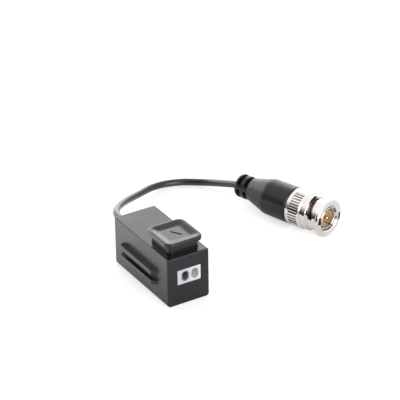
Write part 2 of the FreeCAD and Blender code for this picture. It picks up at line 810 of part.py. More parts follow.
def make_coupling_collar():
    groove = (ring_start() - fit_gap, ring_start() + ring_thickness + fit_gap)
    c = collar_chamfer
    n = neck_blend
    blank = turned([
        (collar_bore, bore_chamfer), (collar_bore + bore_chamfer, 0), (flange_radius - c, 0), (flange_radius, c),
        (flange_radius, flange_width - c), (flange_radius - c, flange_width),
        (neck_radius + n, flange_width + n / 6), (neck_radius + n / 4, flange_width + n / 2),
        (neck_radius, flange_width + n), (neck_radius, shoulder_start),
        (shoulder_radius - c / 2, shoulder_start), (shoulder_radius, shoulder_start + c / 2),
        (shoulder_radius, shoulder_end - c), (waist_radius, shoulder_end),
        (waist_radius, grip_start - c), (grip_radius - c, grip_start),
        (grip_radius, grip_start + c), (grip_radius, collar_length - c),
        (grip_radius - c, collar_length), (chamber_radius, collar_length),
        (chamber_radius, groove[1]), (groove_radius, groove[1]),
        (groove_radius, groove[0]), (chamber_radius, groove[0]),
        (chamber_radius, chamber_start), (collar_bore, chamber_start)])
    blank.rotate(V(0, 0, 0), V(0, 0, 1), seam_turn)
    collar = blank.cut(Part.makeCompound([knurl_cutter(k) for k in range(knurl_count)]))
    for half_turn in (0, 180):
        for cutter in keyway_cutters() + slot_cutters():
            cutter.rotate(V(0, 0, 0), V(0, 0, 1), half_turn)
            collar = collar.cut(cutter)
    return collar


def make_outer_contact():
    r0, r1, z = contact_inner_radius, contact_outer_radius, contact_front
    rear = hub_front + contact_seat
    c = (r1 - r0) / 3
    tube_wall = turned([(r0, z + c), (r0 + c, z), (r1 - c, z), (r1, z + c),
                        (r1, rear), (r0, rear)])
    h = contact_slit / 2
    reach = r1 + overcut
    slits = [box(-reach, reach, -h, h, -z - contact_slit_length, 0),
             box(-h, h, -reach, reach, -z - contact_slit_length, 0)]
    for s in slits:
        s.rotate(V(0, 0, 0), V(0, 0, 1), contact_slit_turn)
    return tube_wall.cut(Part.makeCompound(slits))


def make_plug_body():
    flange_start = chamber_start + fit_gap
    flange_end = flange_start + body_flange_thickness
    seat = hub_front + contact_seat + touch_gap
    hub = collar_bore - hub_gap
    socket = contact_outer_radius + touch_gap
    insulator_bore = insulator_radius() + touch_gap
    return turned([
        (socket, hub_front), (hub, hub_front), (hub, flange_start),
        (chamber_radius - fit_gap, flange_start), (chamber_radius - fit_gap, flange_end),
        (barrel_radius, flange_end), (barrel_radius, barrel_end),
        (crimp_radius, barrel_end), (crimp_radius, crimp_end),
        (crimp_radius - crimp_wall, crimp_end), (crimp_radius - crimp_wall, barrel_end - barrel_floor),
        (insulator_bore, barrel_end - barrel_floor), (insulator_bore, seat), (socket, seat)])


def insulator_radius():
    return contact_inner_radius - insulator_step


def make_insulator():
    bore = pin_radius + touch_gap
    front_r = contact_inner_radius - touch_gap
    step = hub_front + contact_seat
    rear = barrel_end - barrel_floor - touch_gap
    return turned([(bore, insulator_front), (front_r, insulator_front), (front_r, step),
                   (insulator_radius(), step), (insulator_radius(), rear), (bore, rear)])


def make_centre_pin():
    r = pin_radius
    return turned([(0, pin_front), (0.3 * r, pin_front + 0.05), (0.75 * r, pin_front + 0.35),
                   (r, pin_front + 0.9), (r, barrel_end), (0, barrel_end)])


def make_front_gasket():
    end = hub_front - touch_gap
    r0 = contact_outer_radius + touch_gap
    r1 = collar_bore - fit_gap
    c = 0.15
    return turned([(r0, end - gasket_length + c), (r0 + c, end - gasket_length), (r1 - c, end - gasket_length),
                   (r1, end - gasket_length + c), (r1, end), (r0, end)])


def washer_start():
    return chamber_start + fit_gap + body_flange_thickness + touch_gap


def make_spring_washers():
    """Two cupped washers, rim to rim, between the body's flange and the thrust washer."""
    r0, r1 = barrel_radius + fit_gap, chamber_radius - slide_gap
    t = washer_thickness
    s0 = washer_start()
    s1 = s0 + washer_stack - 2 * touch_gap
    mid = (s0 + s1) / 2 - touch_gap / 2
    front = turned([(r0, s0), (r0, s0 + t), (r1, mid), (r1, mid - t)])
    rear = turned([(r0, s1 - t), (r0, s1), (r1, mid + t + touch_gap), (r1, mid + touch_gap)])
    return Part.makeCompound([front, rear])


def ring_start():
    return washer_start() + washer_stack + thrust_thickness


def make_thrust_washer():
    start = washer_start() + washer_stack - touch_gap
    return ring(barrel_radius + fit_gap, chamber_radius - fit_gap, start, start + thrust_thickness)


def make_retaining_ring():
    start = ring_start()
    full = ring(barrel_radius + lift_gap, groove_radius - fit_gap, start, start + ring_thickness)
    return full.cut(wedge(ring_gap_turn / 2, -90.0, start, ring_thickness))


def make_crimp_ferrule():
    r = crimp_radius + touch_gap
    return ring(r, r + ferrule_wall, barrel_end + touch_gap, ferrule_end)


def make_inner_mould():
    start = ferrule_end + touch_gap
    bore = cord_radius + touch_gap
    return turned([(0, start), (mould_root_radius, start), (mould_tip_radius, boot_cone_end),
                   (bore, boot_cone_end), (bore, cord_end_depth), (0, cord_end_depth)])


def boot_slot(start):
    """Cutter for one rib slot: a ring with two bridges left across it."""
    full = ring(rib_slot_radius, boot_front_radius, start, start + rib_slot_width)
    bridges = [wedge(rib_bridge_turn, boot_roll + turn, start, rib_slot_width) for turn in (0, 180)]
    return full.cut(Part.makeCompound(bridges))


def make_plug_boot():
    start = collar_length + boot_gap
    g = touch_gap
    e = boot_end_rounding
    ferrule_outer = crimp_radius + g + ferrule_wall + g
    blank = turned([
        (barrel_radius + g, start), (boot_front_radius - 0.3, start), (boot_front_radius, start + 0.3),
        (boot_shoulder_radius, boot_shoulder), (boot_shoulder_radius - 0.15, boot_shoulder + 1.0),
        (boot_tail_radius + 0.25, boot_cone_end - 0.9), (boot_tail_radius, boot_cone_end),
        (boot_tail_radius, boot_end - e), (boot_tail_radius - 0.3 * e, boot_end - 0.3 * e),
        (boot_tail_radius - e, boot_end), (cord_radius + g, boot_end),
        (cord_radius + g, boot_cone_end + g), (mould_tip_radius + g, boot_cone_end + g),
        (mould_root_radius + g, ferrule_end + g), (ferrule_outer, ferrule_end + g),
        (ferrule_outer, barrel_end + g), (barrel_radius + g, barrel_end + g)])
    boot = placed(blank.cut(Part.makeCompound([boot_slot(s) for s in rib_slots])))
    points, radii = route()
    return boot.cut(tube(points, radii, cord_radius + touch_gap)[0])


nodes = {
    "housing": make_housing(),
    "base_cover": make_base_cover(),
    "push_key": make_push_key(),
    "port_block_left": make_port_block("left"),
    "port_block_right": make_port_block("right"),
    "port_liner_left": make_port_liner(),
    "contact_bar_left": make_contact_bar("left"),
    "contact_bar_right": make_contact_bar("right"),
    "clamp_spring_left": make_clamp_spring("left"),
    "clamp_spring_right": make_clamp_spring("right"),
    "circuit_board": make_circuit_board(),
    "toroid_core": make_toroid_core(),
    "winding_primary": make_winding(90.0),
    "winding_secondary": make_winding(-90.0),
    "surge_arrester": make_surge_arrester(),
    "chip_capacitors": make_chip_capacitors(),
    "chip_resistor": make_chip_resistor(),
    "core_lead": make_core_lead(),
    "shield_lead": make_shield_lead(),
    "cable_grommet": make_cable_grommet(),
    "pigtail_cord": make_pigtail_cord(),
    "plug_boot": make_plug_boot(),
    "inner_mould": placed(make_inner_mould()),
    "crimp_ferrule": placed(make_crimp_ferrule()),
    "plug_body": placed(make_plug_body()),
    "outer_contact": placed(make_outer_contact()),
    "insulator": placed(make_insulator()),
    "centre_pin": placed(make_centre_pin()),
    "front_gasket": placed(make_front_gasket()),
    "spring_washers": placed(make_spring_washers()),
    "thrust_washer": placed(make_thrust_washer()),
    "retaining_ring": placed(make_retaining_ring()),
    "coupling_collar": placed(make_coupling_collar()),
}

os.makedirs("parts", exist_ok=True)
for name, shape in nodes.items():
    shape.exportStep(os.path.join("parts", name + ".step"))
    print(name, "valid", shape.isValid(), "solids", len(shape.Solids), "volume %.2f" % shape.Volume)
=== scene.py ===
# %% [markdown]
# # A passive video balun in Blender
#
# The object is a small black box that joins a pair of wires to a coaxial cable. It has a push key that
# opens two wire clamps, and a pigtail cord that ends in a moulded boot and a bayonet plug. The solids come
# from CAD, at their real size and place. This notebook lays the cord as one smooth curve, adds a printed
# mark and a seal, sets up the studio and the camera, and gives every piece its finish. Lengths of the
# object are in millimetres, and MM turns them into Blender's metres.

import math

import bpy
import numpy as np
from mathutils import Matrix, Vector


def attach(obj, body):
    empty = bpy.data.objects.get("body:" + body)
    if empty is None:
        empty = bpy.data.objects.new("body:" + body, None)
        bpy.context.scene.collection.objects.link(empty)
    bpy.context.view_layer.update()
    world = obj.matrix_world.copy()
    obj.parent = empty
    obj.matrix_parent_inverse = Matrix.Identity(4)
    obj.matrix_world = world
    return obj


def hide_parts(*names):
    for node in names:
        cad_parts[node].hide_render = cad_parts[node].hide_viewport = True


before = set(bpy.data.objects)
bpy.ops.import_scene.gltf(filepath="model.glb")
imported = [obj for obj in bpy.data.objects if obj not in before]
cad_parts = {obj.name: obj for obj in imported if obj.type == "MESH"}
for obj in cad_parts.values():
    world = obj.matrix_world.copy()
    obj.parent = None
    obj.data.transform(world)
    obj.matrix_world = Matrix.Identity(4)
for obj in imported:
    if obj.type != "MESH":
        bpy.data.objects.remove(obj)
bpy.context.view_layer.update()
MM = 0.001

# %% [markdown]
# ## The camera
#
# The photograph was taken from some way off with a long lens, so the box's parallel edges hardly converge.
# The camera's place, its line of sight and its focal length were worked out from the box's corners. It is
# built from three directions (right, up and back) instead of three angles, because those are what a fit of
# corners gives, and it needs no shift.

# %% Place the camera
CAMERA_PLACE = Vector((0.556309, -0.318008, 0.381638))  # metres
LINE_OF_SIGHT = Vector((-0.752563, 0.453387, -0.477587)).normalized()
CAMERA_UP = Vector((-0.401369, 0.259157, 0.878488))
FOCAL_PX = 1987.149
IMAGE_PX = 400
SENSOR_MM = 36.0
NEAREST_SEEN = 0.01  # metres

camera_data = bpy.data.cameras.new("camera")
camera_data.sensor_width = SENSOR_MM
camera_data.lens = FOCAL_PX / IMAGE_PX * SENSOR_MM
camera_data.clip_start = NEAREST_SEEN
camera = bpy.data.objects.new("camera", camera_data)
bpy.context.scene.collection.objects.link(camera)
right = LINE_OF_SIGHT.cross(CAMERA_UP).normalized()
up = right.cross(LINE_OF_SIGHT).normalized()
turn = Matrix((right, up, -LINE_OF_SIGHT)).transposed().to_4x4()
camera.matrix_world = Matrix.Translation(CAMERA_PLACE) @ turn
bpy.context.scene.camera = camera
print("lens %.1f mm, distance %.2f m" % (camera_data.lens, CAMERA_PLACE.length))

# %% [markdown]
# ## The cord
#
# The cord is a thin coaxial cable with a black PVC sheath, 2.9 mm across and about 113 mm long. It leaves
# the rear wall straight, sinks to the floor, swings round in a wide loop and rises a little into the boot.
# A NURBS curve is the natural way to make it: a few control points give one smooth line with no kinks, and
# a round bevel gives it its thickness. The bevel is one metre, and each point scales it down to the cord's
# radius, because Blender measures a curve's bounds by its points' radii.

# %% Lay the cord
CORD_DIAMETER = 2.9 * MM
BOX_LENGTH = 39.2
CORD_INSIDE = 3.7  # from the box's rear face to the cord's inner end
CORD_EXIT_HEIGHT = 10.45
PLUG_HEADING = math.radians(18.0)
PLUG_FRONT = Vector((7.1, 71.1, 7.65))
BOOT_END = 44.3  # both depths are measured back from the plug's front
CORD_END = 35.8
STEPS_PER_SPAN = 16
BEVEL_STEPS = 8

plug_forward = Vector((math.cos(PLUG_HEADING), math.sin(PLUG_HEADING), 0))
cord_route = [
    Vector((-BOX_LENGTH / 2 + CORD_INSIDE, 0, CORD_EXIT_HEIGHT)),
    Vector((-28.6, 0, CORD_EXIT_HEIGHT)),
    Vector((-41.1, 2.7, 9.0)),
    Vector((-50.5, 12.1, 6.0)),
    Vector((-57.5, 23.2, 3.2)),
    Vector((-62.3, 33.0, 1.9)),
    Vector((-60.9, 43.5, 1.5)),
    Vector((-54.8, 51.3, 1.7)),
    Vector((-46.3, 54.8, 4.1)),
    PLUG_FRONT - plug_forward * BOOT_END,
    PLUG_FRONT - plug_forward * CORD_END,
]
cord_curve = bpy.data.curves.new("pigtail_cord_sheath", "CURVE")
cord_curve.dimensions = "3D"
cord_curve.resolution_u = STEPS_PER_SPAN
cord_curve.bevel_depth = 1.0
cord_curve.bevel_resolution = BEVEL_STEPS
cord_curve.use_fill_caps = True
spline = cord_curve.splines.new("NURBS")
spline.points.add(len(cord_route) - 1)
for control, place in zip(spline.points, cord_route):
    control.co = (*(place * MM), 1.0)
    control.radius = CORD_DIAMETER / 2
spline.order_u = 3
spline.use_endpoint_u = True
cord = bpy.data.objects.new("pigtail_cord_sheath", cord_curve)
bpy.context.scene.collection.objects.link(cord)
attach(cord, "housing")
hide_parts("pigtail_cord")
print("cord points", len(cord_route))

# %% [markdown]
# ## The mark on the key
#
# A short dark line is printed across the floor of the key's dish. It is a generic mark: a straight stroke
# with round ends, made as one flat surface a few hundredths of a millimetre above the dish.

# %% Print the mark
MARK_START = np.array([8.44, -0.44])
MARK_END = np.array([11.91, 1.66])
MARK_WIDTH = 0.72
MARK_HEIGHT = 24.43
ARC_STEPS = 12


def mesh_object(name, points, faces):
    """A mesh object in the scene, at the origin, with its points in metres."""
    mesh = bpy.data.meshes.new(name)
    mesh.from_pydata(points, [], faces)
    made = bpy.data.objects.new(name, mesh)
    bpy.context.scene.collection.objects.link(made)
    return made


def stroke_surface(start, end, width, height):
    """Stadium outline: half circles of width/2 about both ends, joined by straights, filled by one face fan.

    With e the unit direction and n its normal, the outline is end + w/2 (cos a e + sin a n) for a from -90 to
    90 degrees, then start + w/2 (cos a e + sin a n) for a from 90 to 270 degrees.
    """
    e = (end - start) / np.linalg.norm(end - start)
    n = np.array([-e[1], e[0]])
    a = np.radians(np.linspace(-90, 90, ARC_STEPS))[:, None]
    front = end + width / 2 * (np.cos(a) * e + np.sin(a) * n)
    back = start - width / 2 * (np.cos(a) * e + np.sin(a) * n)
    rim = np.vstack([front, back])
    rim = np.column_stack([rim, np.full(len(rim), height)])
    middle = np.append((start + end) / 2, height)
    points = np.vstack([rim, middle]) * MM
    count = len(rim)
    return points.tolist(), [(i, (i + 1) % count, count) for i in range(count)]


mark_points, mark_faces = stroke_surface(MARK_START, MARK_END, MARK_WIDTH, MARK_HEIGHT)
key_mark = mesh_object("key_mark", mark_points, mark_faces)
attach(key_mark, "key")
print("mark faces", len(mark_faces))

# %% [markdown]
# ## The seal behind the collar's slots
#
# Dark red rubber shows through the end of the bayonet slot, so the seal reaches further forward than the
# plain ring of the CAD. It is a soft turned part: a profile swept once round the plug's axis. The cell prints
# whether the outer wall faces outward.

# %% Turn the seal
SEAL_PROFILE = [(4.43, 9.15), (4.43, 7.2), (4.5, 7.05), (4.85, 7.05), (4.95, 7.2), (4.95, 9.15)]
OUTER_WALL = 4  # the profile's edge that becomes the outer wall
TURN_STEPS = 96

plug_across = plug_forward.cross(Vector((0, 0, -1)))


def turned_surface(profile, steps):
    """Closed profile of (radius r, depth d) turned once round the plug's axis.

    For each angle a: point = front - d forward + r (cos a across + sin a up), a from 0 to 360 degrees.
    """
    front, forward, across = (np.array(v) for v in (PLUG_FRONT, plug_forward, plug_across))
    a = np.radians(np.arange(steps) * 360 / steps)
    rims = np.cos(a)[:, None] * across + np.sin(a)[:, None] * np.array([0, 0, 1.0])
    points = np.array([front - d * forward + r * rims for r, d in profile]).reshape(-1, 3) * MM
    count = len(profile)
    faces = [(i * steps + k, (i + 1) % count * steps + k,
              (i + 1) % count * steps + (k + 1) % steps, i * steps + (k + 1) % steps)
             for i in range(count) for k in range(steps)]
    return points.tolist(), faces


seal_points, seal_faces = turned_surface(SEAL_PROFILE, TURN_STEPS)
seal = mesh_object("seal", seal_points, seal_faces)
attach(seal, "housing")
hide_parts("front_gasket")
wall_face = seal.data.polygons[OUTER_WALL * TURN_STEPS]
outward = Vector(wall_face.center) - PLUG_FRONT * MM
outward -= outward.dot(plug_forward) * plug_forward
print("seal faces", len(seal_faces), "outer wall faces out", wall_face.normal.dot(outward) > 0)

# %% [markdown]
# ## Colours and nodes
#
# Colours are written as sRGB hex values, as a colour chart gives them, and one function turns them into
# the linear values that the renderer works in. One small function adds a shader node with its settings
# and links, so that a material reads as a list of what is joined to what.

# %% Colour and node helpers
def linear(hex_colour):
    """sRGB hex to linear RGBA: each channel c becomes c/12.92 below 0.04045, else ((c+0.055)/1.055)^2.4."""
    channels = [int(hex_colour[i:i + 2], 16) / 255 for i in (1, 3, 5)]
    return tuple(c / 12.92 if c <= 0.04045 else ((c + 0.055) / 1.055) ** 2.4 for c in channels) + (1.0,)


def scaled(colour, share):
    """A linear colour, lighter or darker by a share, with no channel over 1."""
    return tuple(min(1.0, c * share) for c in colour[:3]) + (1.0,)


def add(tree, kind, inputs=None, **settings):
    """Adds a node; inputs maps a socket's name or number to a value or to another node's output."""
    node = tree.nodes.new(kind)
    for name, value in settings.items():
        setattr(node, name, value)
    for key, value in (inputs or {}).items():
        if isinstance(value, bpy.types.NodeSocket):
            tree.links.new(value, node.inputs[key])
        else:
            node.inputs[key].default_value = value
    return node


def mix(tree, factor, first, second):
    """Colour that runs from the first to the second as the factor goes from 0 to 1."""
    return add(tree, "ShaderNodeMix", {"Factor": factor, 6: first, 7: second}, data_type="RGBA").outputs[2]


def new_material(name):
    """An empty material with an output node; returns the material, its tree and the output."""
    material = bpy.data.materials.new(name)
    material.use_nodes = True
    material.node_tree.nodes.clear()
    return material, material.node_tree, add(material.node_tree, "ShaderNodeOutputMaterial")


def finish_nodes(material, *names):
    """Gives CAD nodes a material."""
    for name in names:
        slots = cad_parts[name].data.materials
        slots.clear()
        slots.append(material)


print("mid grey #808080 is", round(linear("#808080")[0], 3), "in linear light")

# %% [markdown]
# ## Studio
#
# The picture is a plain product shot on white paper. The world is the room. One side of it is dark, as it is
# behind a photographer's black cloth, because plated metal looks like metal only where it has something
# dark to mirror. The background must look white without flooding the object with light, so it glows for
# camera, mirror and glass rays only.

# %% Build the world
ROOM_DIRECTION = Vector((0.35, -0.93, 0.10)).normalized()
DARK_EDGE, DARK_CORE = 0.55, 0.88  # cosines to that direction where the dark begins and is full
LIT_WALLS, DARK_CLOTH = "#fbfafa", "#1c1b1b"
STUDIO_STRENGTH = 0.36
BACKGROUND_STRENGTH = 1.0
WHITE = (1, 1, 1, 1)

world = bpy.data.worlds.new("studio")
bpy.context.scene.world = world
world.use_nodes = True
tree = world.node_tree
tree.nodes.clear()
place = add(tree, "ShaderNodeTexCoord")
toward_room = add(tree, "ShaderNodeVectorMath", {0: place.outputs["Generated"], 1: ROOM_DIRECTION},
                  operation="DOT_PRODUCT")
room = add(tree, "ShaderNodeMapRange", {"Value": toward_room.outputs["Value"], "From Min": DARK_EDGE,
                                        "From Max": DARK_CORE}, interpolation_type="SMOOTHSTEP")
walls = mix(tree, room.outputs["Result"], linear(LIT_WALLS), linear(DARK_CLOTH))
studio_light = add(tree, "ShaderNodeBackground", {"Color": walls, "Strength": STUDIO_STRENGTH})
background = add(tree, "ShaderNodeBackground", {"Color": WHITE, "Strength": BACKGROUND_STRENGTH})
rays = add(tree, "ShaderNodeLightPath")
direct = add(tree, "ShaderNodeMath", {0: rays.outputs["Is Camera Ray"], 1: rays.outputs["Is Transmission Ray"]},
             operation="MAXIMUM")
past_room = add(tree, "ShaderNodeMath", {0: 1.0, 1: room.outputs["Result"]}, operation="SUBTRACT")
mirrored = add(tree, "ShaderNodeMath", {0: rays.outputs["Is Glossy Ray"], 1: past_room.outputs["Value"]},
               operation="MULTIPLY")
seen = add(tree, "ShaderNodeMath", {0: direct.outputs["Value"], 1: mirrored.outputs["Value"]},
           operation="MAXIMUM")
mixed = add(tree, "ShaderNodeMixShader", {0: seen.outputs["Value"], 1: studio_light.outputs["Background"],
                                          2: background.outputs["Background"]})
add(tree, "ShaderNodeOutputWorld", {"Surface": mixed.outputs["Shader"]})
print("dark side of the room towards", [round(v, 2) for v in ROOM_DIRECTION])

# %% [markdown]
# Three softboxes light the object. A large low one behind it lays a pale sheen on every upward face, a flat
# one at the left draws the rails, and one in front opens the terminal's face.

# %% Hang the softboxes
OBJECT_MIDDLE = Vector((-20, 30, 8)) * MM
LAMP_DISTANCE = 0.9  # metres


def softbox(name, direction, width, height, power):
    """Rectangular lamp, width by height in metres, hung along a direction from the object and facing it."""
    data = bpy.data.lights.new(name, "AREA")
    data.shape = "RECTANGLE"
    data.size, data.size_y = width, height
    data.energy = power
    lamp = bpy.data.objects.new(name, data)
    bpy.context.scene.collection.objects.link(lamp)
    lamp.location = OBJECT_MIDDLE + direction.normalized() * LAMP_DISTANCE
    lamp.rotation_euler = (-direction).to_track_quat("-Z", "Y").to_euler()
    lamp.visible_camera = False


softbox("softbox_behind", Vector((-0.80, 0.48, 0.26)), width=0.9, height=0.7, power=4.2)
softbox("softbox_left", Vector((-0.82, -0.35, 0.46)), width=0.7, height=0.35, power=2.2)
softbox("softbox_front", Vector((0.85, 0.02, 0.30)), width=0.6, height=0.5, power=4.1)
print("lamps", len(bpy.data.lights))

# %% [markdown]
# The floor is matt white paper. A moulded side mirrors the paper beside it. The flat paper has a painted glow
# in mirror rays that grows steadily towards the left rear, standing in for paper that curves up to the lamp
# there, while the camera sees it evenly white, with the object's soft shadow kept.

# %% Spread the paper floor
# Painted light: the paper's glow in mirror rays grows along this direction, between a start and an end in mm.
MIRROR_GLOW_DIRECTION = Vector((-0.85, -0.53, 0)).normalized()
MIRROR_GLOW_START, MIRROR_GLOW_END = -15, 180  # along that direction, from the origin
PAPER_COLOUR = "#f4f4f4"
CAMERA_GLOW = 0.6
MIRROR_GLOW_NEAR = 0.15
MIRROR_GLOW_RISE = 3.1
FLOOR_HALF = 3.0  # metres
FLOOR_DROP = 0.02  # keeps the paper clear of the box's underside

paper, tree, out = new_material("matte_white_paper")
diffuse = add(tree, "ShaderNodeBsdfDiffuse", {"Color": linear(PAPER_COLOUR)})
rays = add(tree, "ShaderNodeLightPath")
direct = add(tree, "ShaderNodeMath", {0: rays.outputs["Is Camera Ray"], 1: rays.outputs["Is Transmission Ray"]},
             operation="MAXIMUM")
direct_glow = add(tree, "ShaderNodeMath", {0: direct.outputs["Value"], 1: CAMERA_GLOW}, operation="MULTIPLY")
place = add(tree, "ShaderNodeTexCoord")
toward_glow = add(tree, "ShaderNodeVectorMath", {0: place.outputs["Object"], 1: MIRROR_GLOW_DIRECTION},
                   operation="DOT_PRODUCT")
glow_ramp = add(tree, "ShaderNodeMapRange", {"Value": toward_glow.outputs["Value"], "From Min": MIRROR_GLOW_START * MM,
                                         "From Max": MIRROR_GLOW_END * MM})
mirror_glow = add(tree, "ShaderNodeMath", {0: glow_ramp.outputs["Result"], 1: MIRROR_GLOW_RISE, 2: MIRROR_GLOW_NEAR},
                  operation="MULTIPLY_ADD")
glow_strength = add(tree, "ShaderNodeMath", {0: rays.outputs["Is Glossy Ray"], 1: mirror_glow.outputs["Value"],
                                             2: direct_glow.outputs["Value"]}, operation="MULTIPLY_ADD")
glow = add(tree, "ShaderNodeEmission", {"Color": WHITE, "Strength": glow_strength.outputs["Value"]})
lit = add(tree, "ShaderNodeAddShader", {0: diffuse.outputs["BSDF"], 1: glow.outputs["Emission"]})
tree.links.new(lit.outputs["Shader"], out.inputs["Surface"])

corners = [(x * FLOOR_HALF, y * FLOOR_HALF, -FLOOR_DROP * MM) for x, y in ((-1, -1), (1, -1), (1, 1), (-1, 1))]
floor = mesh_object("paper_floor", corners, [(0, 1, 2, 3)])
floor.data.materials.append(paper)
bpy.context.scene.view_settings.view_transform = "Standard"
print("floor", 2 * FLOOR_HALF, "m square")

# %% [markdown]
# ## Moulded plastics
#
# The box, its base and the key are injection-moulded ABS. The mould's walls were spark-eroded, which leaves
# a fine pebble texture: it breaks the gloss into a soft satin sheen with a faint sparkle. Two layers of noise
# give it, one for the pebbles and one, much larger, for the slow drift in tone that a real moulding has. The
# terminal blocks are white polyamide, and the liner in the left port is a dark one.

# %% Moulded ABS and polyamide
PEBBLE_DETAIL = 3.0
PEBBLE_ROUGHNESS = 0.55
DRIFT_MM = 9
DRIFT_DETAIL = 2.0
PATTERN_LOW, PATTERN_HIGH = 0.7, 1.3  # the range that the sum of both noises mostly covers
GLOSS_SPREAD = 0.06


def moulded_plastic(name, hex_colour, roughness, grain_mm, grain_depth_mm, tone=0.12, ior=1.53):
    """Moulded plastic: pebble bump of a given grain, and a drift in colour and roughness.

    As the sum of pebbles and drift rises, the colour goes from (1 - tone) to (1 + tone) times the base, and
    the roughness falls by the gloss spread on either side of its value.
    """
    material, tree, out = new_material(name)
    place = add(tree, "ShaderNodeTexCoord").outputs["Object"]
    pebbles = add(tree, "ShaderNodeTexNoise", {"Vector": place, "Scale": 1 / (grain_mm * MM),
                                               "Detail": PEBBLE_DETAIL, "Roughness": PEBBLE_ROUGHNESS})
    drift = add(tree, "ShaderNodeTexNoise", {"Vector": place, "Scale": 1 / (DRIFT_MM * MM),
                                             "Detail": DRIFT_DETAIL})
    pattern = add(tree, "ShaderNodeMath", {0: drift.outputs["Fac"], 1: pebbles.outputs["Fac"]}, operation="ADD")
    pattern_range = {"Value": pattern.outputs["Value"], "From Min": PATTERN_LOW, "From Max": PATTERN_HIGH}
    lightness = add(tree, "ShaderNodeMapRange", pattern_range)
    base = linear(hex_colour)
    colour = mix(tree, lightness.outputs["Result"], scaled(base, 1 - tone), scaled(base, 1 + tone))
    rough = add(tree, "ShaderNodeMapRange", {**pattern_range, "To Min": roughness + GLOSS_SPREAD,
                                             "To Max": roughness - GLOSS_SPREAD})
    bump = add(tree, "ShaderNodeBump", {"Height": pebbles.outputs["Fac"], "Strength": 1.0,
                                        "Distance": grain_depth_mm * MM})
    shader = add(tree, "ShaderNodeBsdfPrincipled", {"Base Color": colour, "Roughness": rough.outputs["Result"],
                                                    "Normal": bump.outputs["Normal"]})
    shader.inputs["IOR"].default_value = ior
    tree.links.new(shader.outputs["BSDF"], out.inputs["Surface"])
    return material


satin_abs = moulded_plastic("satin_black_abs", "#1f1f23", roughness=0.28, grain_mm=0.32, grain_depth_mm=0.02)
key_abs = moulded_plastic("fine_satin_black_abs", "#1d1d21", roughness=0.23, grain_mm=0.32,
                          grain_depth_mm=0.007, ior=1.58)
block_lavender = moulded_plastic("off_white_polyamide", "#e3e2ec", roughness=0.42, grain_mm=0.6,
                                 grain_depth_mm=0.004, tone=0.03)
block_white = moulded_plastic("white_polyamide", "#f8f8f9", roughness=0.42, grain_mm=0.6,
                              grain_depth_mm=0.004, tone=0.03)
liner_grey = moulded_plastic("black_polyamide", "#929297", roughness=0.5, grain_mm=0.3, grain_depth_mm=0.006)
finish_nodes(satin_abs, "housing", "base_cover")
finish_nodes(key_abs, "push_key")
finish_nodes(block_lavender, "port_block_left")
finish_nodes(block_white, "port_block_right")
finish_nodes(liner_grey, "port_liner_left")
print("plastics", [m.name for m in (satin_abs, key_abs, block_lavender, block_white, liner_grey)])

# %% [markdown]
# The mark is a dry printing ink. It has no gloss at all, so that it stays dark where the dish around it
# mirrors the softbox.

# %% Ink the mark
INK_SPECK_MM = 0.3
DARK_INK, LIGHT_INK = "#1a1a1b", "#2a2a2c"

mark_ink, tree, out = new_material("matte_black_print")
place = add(tree, "ShaderNodeTexCoord").outputs["Object"]
specks = add(tree, "ShaderNodeTexNoise", {"Vector": place, "Scale": 1 / (INK_SPECK_MM * MM)})
ink_colour = mix(tree, specks.outputs["Fac"], linear(DARK_INK), linear(LIGHT_INK))
ink_surface = add(tree, "ShaderNodeBsdfDiffuse", {"Color": ink_colour, "Roughness": 1.0})
tree.links.new(ink_surface.outputs["BSDF"], out.inputs["Surface"])
key_mark.data.materials.append(mark_ink)
print("ink", mark_ink.name)

# %% [markdown]
# ## Soft PVC and rubber
#
# The cord's sheath is extruded PVC: smooth, a little oily, with a broad soft highlight. The boot is moulded
# from a stiffer grade with a fine satin texture, the grommet is softer, and the seal is silicone rubber. They
# share the pebble material, with the grain and the gloss of each, and so do the plug's plastic parts.

# %% Soft parts
sheath_pvc = moulded_plastic("extruded_black_pvc", "#242325", roughness=0.25, grain_mm=1.2,
                             grain_depth_mm=0.008)
boot_pvc = moulded_plastic("moulded_black_pvc", "#121213", roughness=0.36, grain_mm=0.36,
                           grain_depth_mm=0.024, ior=1.46)
grommet_pvc = moulded_plastic("soft_black_pvc", "#222223", roughness=0.55, grain_mm=0.4, grain_depth_mm=0.01)
seal_silicone = moulded_plastic("dark_red_silicone", "#7a1a1c", roughness=0.4, grain_mm=0.4,
                                grain_depth_mm=0.004)
insulator_acetal = moulded_plastic("cream_acetal", "#e0d2bd", roughness=0.4, grain_mm=0.8,
                                   grain_depth_mm=0.003)
mould_polythene = moulded_plastic("natural_polythene", "#b9b8b2", roughness=0.5, grain_mm=0.8,
                                  grain_depth_mm=0.004)
cord_curve.materials.append(sheath_pvc)
seal.data.materials.append(seal_silicone)
finish_nodes(boot_pvc, "plug_boot")
finish_nodes(grommet_pvc, "cable_grommet")
finish_nodes(insulator_acetal, "insulator")
finish_nodes(mould_polythene, "inner_mould")
print("soft parts", [m.name for m in (sheath_pvc, boot_pvc, grommet_pvc, seal_silicone, insulator_acetal,
                                      mould_polythene)])

# %% [markdown]
# ## Plated and bare metals
#
# The collar is turned brass under bright nickel, which mirrors the room almost cleanly: what shows is a very
# fine trace of the lathe, as rings round the plug's axis, and a slight warm tint. The pattern is turned to
# that axis by a mapping node, so that the rings lie square to it. The knurl's grooves, the slots, the collar's
# rear edge and the sleeve under the collar get painted shade: their colour is darkened where shade and dark
# reflections fall. The painted shade fades out over the top of the knurl, which mirrors the lit room above.

# %% Bright metals
CLOUD_MM = 2.5
CLOUD_DETAIL = 4.0
CLOUD_LOW, CLOUD_HIGH = 0.3, 0.7  # the range that the clouds mostly cover
DULLER = 0.96  # share of the colour left between the clouds
SMOOTHEST = 0.02
# Colour of the painted shade in the plated metal's hollows.
PAINTED_SHADE_COLOUR = "#1d1614"
RADIUS_FADE, DEPTH_FADE, TOP_FADE = 0.08, 0.1, 3.0
BELOW_PLUG = -9.0
WAVE_PERIOD = 0.314  # metres between the bands of a wave texture of scale 1
RING_DISTORTION = 0.6
RING_DETAIL = 2.0


